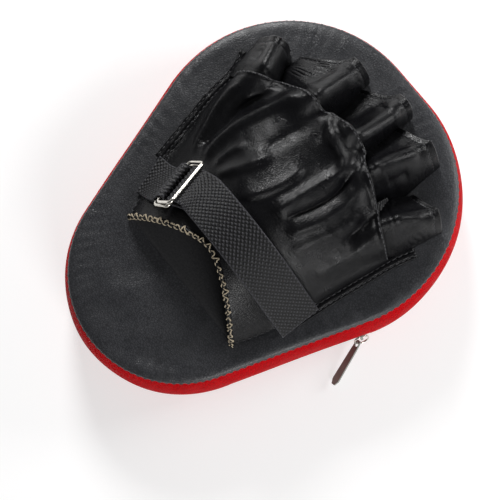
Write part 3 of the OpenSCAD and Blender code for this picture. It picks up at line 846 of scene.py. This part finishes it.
def finger_tube(finger, flare, lean, creases, seed):
    """The middle surface of a finger sleeve, as rings from the knuckle to the opening."""
    base, side, ahead = finger_frame(finger)
    length = finger[3] + SLEEVE_MORE
    s = with_ends(np.linspace(-0.24, 1, 64), 0.7 / length)
    top = np.sin(math.pi / 2 * np.linspace(-1, 1, 61))
    t = np.r_[top, np.linspace(1, -1, 22)[1:-1]]
    under = np.r_[np.zeros(61, bool), np.ones(20, bool)]
    forward = np.clip(s, 0, 1)[:, None]
    w = finger[6] + (finger[4] + 7.5 - finger[6]) * (1 - forward) ** 1.35 - 0.5
    h = finger[7] + (finger[5] - finger[7]) * (1 - forward) ** 1.6 - 0.75
    far = (s * length)[:, None]
    tuck = 1.5 * np.exp(-((np.clip(far, 0, 99)) / 2.4) ** 2) + np.clip(-far, 0, 9) * 0.35
    hem = 0.35 * np.exp(-((far - (length - 4.6)) / 0.7) ** 2)
    puff = 0.9 * np.sin(math.pi * np.clip(forward * 1.1, 0, 1)) - tuck
    spread = flare[0] * ease(-t, 0.5, 1)[None] * (0.7 + 0.3 * forward)
    across = t[None] * (w / 2 + 0.25 * puff) - spread
    slant = far * (1 - flare[1] / length * ease(-t, 0.35, 1)[None])
    leaning = np.abs(t + lean * (1 - t * t))[None]
    section = np.clip(1 - leaning ** (1.8 + 0.6 * forward), 0, 1) ** (0.95 - 0.33 * forward)
    rise = np.where(under[None], 0.35, (h + puff) * section)
    xy = base + across[..., None] * side + slant[..., None] * ahead
    grid = np.concatenate([xy, (GLOVE_Z - 0.3 + rise)[..., None]], axis=-1)
    out = grid_normals(grid, True)
    out *= np.sign(out[:, 30, 2].mean())
    sides = np.abs(t)[None] ** 1.5
    ridged = 0.3 + 0.9 * RIBBED.get(finger, 0) * ease(-t, 0.1, 0.5)[None]
    ribs = np.sin(far * 2 * math.pi / 3.4 + 3.5 * ripple(grid, 7, seed)) * ridged * sides
    ribs = ribs * ease(far, 2, 7) * (1 - ease(far, length - 7, length - 5))
    ribs = ribs * np.clip(ripple(grid, 9, seed + 3), 0, 1)
    lumps = 0.4 * ripple(grid, 13, seed + 1) + 0.15 * ripple(grid, 5, seed + 2)
    local = np.stack(np.broadcast_arrays(across, far), -1)
    lumps = lumps + sum(fold(local, line, high, wide, fade=5) for line, high, wide in creases)
    fixed = np.where(under, 0, 1)[None] * ease(1 - np.abs(t), 0, 0.06)[None]
    grid = grid + out * ((ribs + lumps * (1 - 0.5 * ease(far, length - 6, length)) - hem) * fixed)[..., None]
    return grid, grid_normals(grid, True) * np.sign(out[:, 30, 2].mean()), s


def make_fingers():
    for k, (name, finger) in enumerate(FINGERS.items()):
        grid, out, s = finger_tube(finger, FLARE[name], *CREASES[name], 40 + 5 * k)
        points, faces = leather_skin(grid, 1.4, True)
        piece(name + "_leather", points, faces, GLOVE, slot="glove_leather", replaces=[name + "_sleeve"])
        row = int(np.argmin(abs(s - (1 - 4.6 / (finger[3] + SLEEVE_MORE)))))
        top = slice(1, 60)
        lines = stitch_lines((grid + out * 0.7)[row, top], out[row, top], 2.0, 1.0, 0.24)
        tubes(name + "_hem_stitches", lines, 0.24,
              BLACK_THREAD, 6, slot="stitch_thread")


def make_gusset(name, left, right, reach, top_share):
    """The cloth between two fingers: it falls from the knuckle edge to the palm, gathered in ribs."""
    a, b = FINGERS[left], FINGERS[right]
    v = np.linspace(0, 1, 70)[:, None]
    u = np.linspace(0, 1, 30)[None]
    edges = []
    for finger, sign in ((a, 1), (b, -1)):
        base, side, ahead = finger_frame(finger)
        share = np.clip(v * reach / finger[3], 0, 1)
        half = (finger[4] + (finger[6] - finger[4]) * share) / 2 - 2.2
        edges.append(base + sign * half * side + (v * (reach + 7) - 7) * ahead)
    xy = edges[0][:, None] * (1 - u[..., None]) + edges[1][:, None] * u[..., None]
    top = top_share * min(a[5], b[5])
    fall = top * (1 - v**1.5) ** 0.9
    sag = 3.5 * np.sin(math.pi * u) * (1 - v) ** 0.5 * np.sqrt(v)
    z = GLOVE_Z + 0.4 + fall - sag
    z = np.maximum(z + 0 * u, GLOVE_Z + 0.3)
    grid = np.concatenate([xy, z[..., None]], axis=-1)
    out = grid_normals(grid)
    out *= np.sign(out[..., 2].mean())
    far = lengths(grid, 0)
    rib = 0.4 * np.sin(far * 2 * math.pi / 2.1 + 1.5 * ripple(grid, 6, 71)) + 0.5 * ripple(grid, 5, 72)
    grid = grid + out * (rib * ease(v, 0, 0.1) * (1 - ease(v, 0.9, 1)))[..., None]
    points, faces = leather_skin(grid, 1.1)
    piece(name + "_cloth", points, faces, GUSSET, slot="glove_leather", replaces=[name])


def make_palm():
    """The flat piece of the glove against the pad."""
    left = [(row[2] + 0.6, row[0]) for row in STATIONS]
    right = [(row[3] - 0.6, row[0]) for row in STATIONS]
    y = np.linspace(-55.6, 50, 60)
    x_left = np.interp(y, [p[1] for p in left], [p[0] for p in left])
    x_right = np.interp(y, [p[1] for p in right], [p[0] for p in right])
    t = np.linspace(0, 1, 60)[None]
    x = x_left[:, None] * (1 - t) + x_right[:, None] * t
    front = np.interp(x[-1], [-75, -57, -42, -26, 3, 31, 57, 75], [46, 50, 60, 70, 74, 68, 56, 44])
    share = ease(y, -10, 50)[:, None]
    z = PALM_Z + 0.75 + 0 * x
    grid = np.stack([x, y[:, None] + share * (front - 50)[None], z], -1)
    points, faces = leather_skin(grid, 1.2)
    piece("glove_palm_lining", points, faces, LINING, slot="glove_leather", replaces=["glove_palm"])


def make_flange(name, column, sign, beyond):
    """The turned-out edge of the glove, sewn flat to the pad with two rows of stitches."""
    feet = [(row[column], row[0]) for row in STATIONS[2:]]
    path = curve_through(feet + beyond, 1.0)
    tangent = unit(np.gradient(path, axis=0))
    outward = np.stack([tangent[:, 1], -tangent[:, 0]], -1) * sign
    t = with_ends(np.linspace(0, 1, 15), 0.1)
    swell = 1.5 + 0.5 * np.sin(math.pi * t)
    for row_at in (0.3, 0.75):
        swell = swell - 0.5 * np.exp(-((t - row_at) / 0.1) ** 2)
    xy = path[:, None] + outward[:, None] * (t * 6.2 - 0.8)[None, :, None]
    wave = 0.25 * ripple(xy, 8, 81) + 0.12 * ripple(xy, 3, 82)
    z = PALM_Z + swell[None] + wave * 0.8
    grid = np.concatenate([xy, z[..., None]], axis=-1)
    points, faces = leather_skin(grid, 1.3)
    piece(name + "_leather", points, faces, GLOVE, slot="glove_leather", replaces=[name])
    up = np.tile([0.0, 0, 1], (len(path), 1))
    for k, at in enumerate((0.3, 0.75)):
        col = int(np.argmin(abs(t - at)))
        line = grid[:, col] + [0, 0, 0.75]
        tubes(f"{name}_stitches_{k + 1}", stitch_lines(line, up, 2.4, 1.2, 0.28), 0.28, BLACK_THREAD, 6,
              slot="stitch_thread")


OVERLOCK_PITCH = 4.1


def sampled(at, known, rows):
    """Rows of x, y and z, read between the places where they are known."""
    return np.stack([np.interp(at, known, rows[:, c]) for c in range(3)], axis=1)


def make_wrist_edge(grid, out):
    """The turned wrist hem and the pale overlock thread round its raw edge."""
    edge = evenly(grid[1], 0.9)
    normal = unit(sampled(np.linspace(0, 1, len(edge)), np.linspace(0, 1, grid.shape[1]), out[1]))
    tangent = unit(np.gradient(edge, axis=0))
    inward = unit(np.cross(normal, tangent))
    inward *= np.sign(inward[:, 1].mean())
    lumpy = 0.18 * ripple(edge, 6, 91)
    tubes("wrist_hem", [edge - inward * 0.2 + normal * lumpy[:, None]], 1.45, GLOVE, 12, slot="glove_leather")
    far = np.r_[0, np.cumsum(np.linalg.norm(np.diff(edge, axis=0), axis=1))]
    draw = np.random.RandomState(92)
    stops, in_out, ups = [], [], []
    at = 0.6
    while at < far[-1] - 1.2:
        jitter = draw.uniform(-0.45, 0.45, 4)
        stops += [at, at + 1.0, at + 2.0 + jitter[0], at + 3.0 + jitter[1]]
        in_out += [-1.2 + jitter[2] * 2, -0.3 + jitter[1], 0.5 + jitter[3] * 2.4, -0.3 + jitter[0]]
        ups += [0.2, 1.8, 1.7, 1.8]
        at += OVERLOCK_PITCH + 2 * jitter[3]
    dense = np.linspace(stops[0], stops[-1], int(far[-1] / 0.35))
    k = np.interp(dense, stops, np.arange(len(stops)))
    wave = spline(in_out, np.clip(k, 0, len(stops) - 1.001))
    lift = spline(ups, np.clip(k, 0, len(stops) - 1.001))
    at_edge = sampled(dense, far, edge)
    at_normal = unit(sampled(dense, far, normal))
    at_in = unit(sampled(dense, far, inward))
    zigzag = at_edge + at_in * wave[:, None] + at_normal * lift[:, None]
    turn = dense * 2 * math.pi / OVERLOCK_PITCH
    chain = at_edge - at_in * (1.3 + 0.4 * np.sin(turn))[:, None]
    chain = chain + at_normal * (0.1 + 0.6 * np.cos(turn))[:, None]
    tubes("wrist_overlock", [zigzag, chain], 0.36, CREAM_THREAD, 7, slot="binding_thread",
          replaces=["wrist_binding"])


def make_glove():
    grid, out = make_glove_back()
    make_fingers()
    make_gusset("thumb_gusset", "thumb", "index", 10, 0.5)
    make_gusset("index_gusset", "index", "middle", 11, 0.45)
    make_gusset("middle_gusset", "middle", "ring_finger", 13, 0.5)
    make_gusset("little_gusset", "ring_finger", "little", 8, 0.62)
    make_palm()
    make_flange("left_flange", 2, -1, [(-73.5, 55)])
    make_flange("right_flange", 3, 1, [(72.5, 57)])
    make_wrist_edge(grid, out)


make_glove()


# ---------------------------------------------------------------- strap and buckle
BUCKLE = np.array(Matrix.Rotation(-RING_SLOPE, 3, "Y") @ Matrix.Rotation(RING_TURN, 3, "Z"))


def in_buckle(x, y, z):
    """A point from its place in the buckle: up the slope, along the long bars and off the hand."""
    x, y, z = np.broadcast_arrays(np.asarray(x, float), np.asarray(y, float), np.asarray(z, float))
    return np.array(BUCKLE_AT) + np.stack([x, y, z], -1) @ BUCKLE.T


def strap_points(x, lift):
    """The strap's line over the hand, lifted off it: x and z only."""
    def plain(at):
        left = at < CROWN_X
        t = np.minimum(np.abs(at - CROWN_X) / np.where(left, STRAP_LEFT, STRAP_RIGHT), 1)
        return GLOVE_Z + 0.3 + STRAP_H * np.clip(1 - t**2.2, 0, 1) ** np.where(left, 0.95, 1.3)
    slope = plain(x + 0.5) - plain(x - 0.5)
    scale = np.sqrt(1 + slope**2)
    return x - lift * slope / scale, plain(x) + lift / scale


WARP = 1.5
WEFT = 1.35


def weave(along, across):
    """Relief of coarse webbing: staggered ovals of yarn."""
    along, across = (along + 0.12 * np.sin(across * 2.3 + along * 0.31),
                     across + 0.1 * np.sin(along * 1.9 + across * 0.47))
    cell = np.cos(math.pi * along / WARP) * np.cos(math.pi * across / WEFT)
    return 0.5 * np.clip(cell, 0, 1) ** 0.6 - 0.22


def ribbon(name, edge_a, edge_b, thick, mat, relief=weave, step=0.38, body="root", **rest):
    """A flat band between two edge lines, with relief on both faces and soft edges."""
    middle = (edge_a + edge_b) / 2
    far = np.r_[0, np.cumsum(np.linalg.norm(np.diff(middle, axis=0), axis=1))]
    at = np.linspace(0, far[-1], int(far[-1] / step) + 1)
    a, b = (np.stack([np.interp(at, far, e[:, k]) for k in range(3)], axis=1) for e in (edge_a, edge_b))
    width = np.linalg.norm(b - a, axis=1).mean()
    share = np.linspace(0, 1, int(width / step) + 1)
    grid = a[:, None] * (1 - share[None, :, None]) + b[:, None] * share[None, :, None]
    out = grid_normals(grid)
    edge = np.minimum(share, 1 - share)[None] * width
    ends = np.minimum(at, at[-1] - at)[:, None]
    full = np.sqrt(np.clip(1 - (1 - np.clip(np.minimum(edge, ends) / 0.7, 0, 1)) ** 2, 0.05, 1))
    high = relief(at[:, None], share[None] * width)
    low = relief(at[:, None] + WARP, share[None] * width)
    half = thick / 2
    points, faces = shell(grid + out * ((half + high) * full)[..., None],
                          grid - out * ((half + low) * full)[..., None])
    return piece(name, points, faces, mat, body=body, **rest)


def joined(first, second, pull=1.0):
    """Two lines with a smooth bridge from the end of one to the start of the other."""
    a, b = first[-1], second[0]
    gap = np.linalg.norm(b - a) * pull
    ta, tb = unit(first[-1] - first[-2]), unit(second[1] - second[0])
    u = np.linspace(0, 1, 30)[1:-1, None]
    bridge = ((2 * u**3 - 3 * u**2 + 1) * a + (u**3 - 2 * u**2 + u) * gap * ta
              + (3 * u**2 - 2 * u**3) * b + (u**3 - u**2) * gap * tb)
    return np.concatenate([first, bridge, second])


def fold_edge(y, points):
    return in_buckle(np.array([p[0] for p in points]), y, np.array([p[1] for p in points]))


def arc_points(centre, r, start, end, n):
    a = np.radians(np.linspace(start, end, n))
    return [(centre[0] + r * math.cos(k), centre[1] + r * math.sin(k)) for k in a]


# Where the strap's layers and patches start and end across the hand, and two peel places that make_strap
# works out but does not use
STRAP_START = -16
LOWER_SHORTER = 6
PATCH_FROM = -12
PATCH_TO = 46
PATCH_MARGIN = 3.0
PEEL_FROM = 17.0
PEEL_TO = 25.0


def pile(along, across):
    """The fastener patches' nap, 1.3 mm apart."""
    return 0.1 * np.cos(along * 2 * math.pi / 1.3) * np.cos(across * 2 * math.pi / 1.3)


def make_strap():
    half = WEB_W / 2
    bar = (RING_W, 0)
    tail_x, tail_z = strap_points(np.linspace(STRAP_START, STRAP_END, 160), TAIL_LIFT)
    lower_x, lower_z = strap_points(np.linspace(STRAP_START, STRAP_END - LOWER_SHORTER, 150), 0)
    turn = arc_points(bar, FOLD_R, 262, 90, 26)
    upper, lower = [], []
    for y in (-half, half):
        tail = np.stack([tail_x, np.full_like(tail_x, STRAP_Y + y), tail_z], -1)
        begin = fold_edge(y, turn + [(bar[0] + 1.2, FOLD_R - 0.1), (17.4, 0.75), (19.2, -0.3)])
        upper.append(joined(begin, tail))
        under = np.stack([lower_x, np.full_like(lower_x, STRAP_Y + y), lower_z], -1)
        below = [(bar[0] - 0.6, -FOLD_R - 0.05), (bar[0] + 1, -FOLD_R), (16, -3.3), (18.6, -4.1)]
        start = fold_edge(y, below)
        lower.append(joined(start, under))
    strap = ribbon("strap_webbing", upper[0], upper[1], WEB_T, WEBBING, body=None, slot="webbing",
                   replaces=["strap_fold", "strap_tail"])
    joint = next(j for j in frame["joints"] if j["name"] == "strap_peel")
    start = in_buckle(PEEL_FROM, 0, 1.0)
    end = in_buckle(PEEL_TO, 0, 1.0)
    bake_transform(strap)
    ribbon("strap_lower_webbing", lower[0], lower[1], WEB_T, WEBBING, slot="webbing",
           replaces=["strap_anchor"])
    patches = (("loop_patch", "strap_loop", "root", 1.17), ("hook_patch", "strap_hook", joint["child"], 2.27))
    for name, node, body, lift in patches:
        px, pz = strap_points(np.linspace(PATCH_FROM, PATCH_TO, 100), lift)
        edges = [np.stack([px, np.full_like(px, STRAP_Y + y), pz], -1)
                 for y in (PATCH_MARGIN - half, half - PATCH_MARGIN)]
        ribbon(name, edges[0], edges[1], 0.8, FASTENER, relief=pile, body=body, slot="fastener",
               replaces=[node])


def bezier(a, b, c, d, n=40):
    u = np.linspace(0, 1, n)[:, None]
    return (1 - u) ** 3 * a + 3 * u * (1 - u) ** 2 * b + 3 * u * u * (1 - u) * c + u**3 * d


def to_pad(start, foot):
    """From the rings down to where the webbing is sewn to the pad."""
    lead = foot + unit(start - foot) * [7, 7, 0]
    return bezier(start, start - BUCKLE[:, 0] * 9, lead, foot)


def make_tab():
    """The webbing that holds the rings: up from the pad, round both left bars and down again."""
    r = WIRE_R + 0.4 + WEB_T / 2
    half = WEB_W / 2
    rise = math.degrees(math.atan2(OUTER_LEFT[1], OUTER_LEFT[0]))
    loop = (arc_points((0, 0), r, 255, 270 + rise, 6) + arc_points(OUTER_LEFT, r, 270 + rise, 450 + rise, 22)
            + arc_points((0, 0), r, 90 + rise, 150 + rise, 10))
    ends = {-half: np.array([-50.0, -44.6, 47.6]), half: np.array([-57.8, -21.4, 47.6])}
    edges = []
    for y, flat in ends.items():
        ring = fold_edge(y, loop)
        lower = to_pad(ring[0], flat + [0, 0, 0.3])[::-1]
        upper = to_pad(ring[-1], flat + [0, 0, 1.9])
        edges.append(evenly(np.concatenate([lower, ring[1:-1], upper]), 0.5))
    n = min(len(edges[0]), len(edges[1]))
    pair = [e[np.linspace(0, len(e) - 1, n).round().astype(int)] for e in edges]
    ribbon("ring_tab_webbing", pair[0], pair[1], WEB_T, WEBBING, slot="webbing", replaces=["ring_tab"])


def ring_line(left, right):
    """The centre line of a wire ring between its two long bars, in the buckle's place."""
    left, right = np.array(left, float), np.array(right, float)
    across = unit(right - left)
    w = np.linalg.norm(right - left)
    corners = []
    for cx, cy, start in ((w - BEND_R, RING_L / 2 - BEND_R, 0), (BEND_R, RING_L / 2 - BEND_R, 90),
                          (BEND_R, BEND_R - RING_L / 2, 180), (w - BEND_R, BEND_R - RING_L / 2, 270)):
        corners += arc_points((cx, cy), BEND_R, start, start + 90, 12)
    line = np.array(corners + [corners[0]])
    line = evenly(line, 0.5)[:-1]
    return in_buckle(left[0] + across[0] * line[:, 0], line[:, 1], left[1] + across[1] * line[:, 0])


def make_rings():
    tubes("inner_ring_wire", [ring_line((0, 0), (RING_W, 0))], WIRE_R, NICKEL, 20, True, body="inner_ring",
          slot="ring_steel", replaces=["inner_ring"])
    tubes("outer_ring_wire", [ring_line(OUTER_LEFT, OUTER_RIGHT)], WIRE_R, NICKEL, 20, True,
          body="outer_ring", slot="ring_steel", replaces=["outer_ring"])


make_strap()
make_tab()
make_rings()


# ---------------------------------------------------------------- zipper
def tape_rib(along, across):
    """The zipper tape's ribs, 0.9 mm apart across it."""
    return 0.06 * np.cos(across * 2 * math.pi / 0.9)


def make_zipper():
    for side, name in ((1, "upper"), (-1, "lower")):
        along = np.linspace(-CHAIN_L - 4.5, 4.5, 120)
        edge_a = zip_place(along, TAPE_X, side * 2.2)
        edge_b = zip_place(along, TAPE_X, side * 9.0)
        ribbon("zip_tape_cloth_" + name, edge_a, edge_b, 0.6, TAPE, relief=tape_rib, step=0.45,
               slot="zip_tape", replaces=["zip_tape_" + name])
        lines = []
        for at in np.arange(-CHAIN_L, -1, 2.0):
            shift = 0.0 if side > 0 else 1.0
            y = at + shift + 0.4 * np.array([-1, -1, -1, 0, 1, 1, 1])
            z = side * np.array([3.1, 1.6, 0.75, 0.5, 0.75, 1.6, 3.1])
            lines.append(zip_place(y, TAPE_X + 0.45, z))
        tubes("zip_teeth_coil_" + name, lines, 0.42, COIL, 7, slot="zip_nylon",
              replaces=["zip_teeth_" + name])
    metals = {"zip_stops": SATIN, "zip_slider": SATIN, "zip_pull_tab": SATIN, "zip_link_ring": NICKEL}
    for node, mat in metals.items():
        obj = frame["nodes"][node]
        obj.data.materials.clear()
        obj.data.materials.append(mat)
        if node != "zip_link_ring":
            soften = obj.modifiers.new("edges", "BEVEL")
            soften.width = 0.00018
            soften.segments = 2
            soften.limit_method = "ANGLE"


make_zipper()
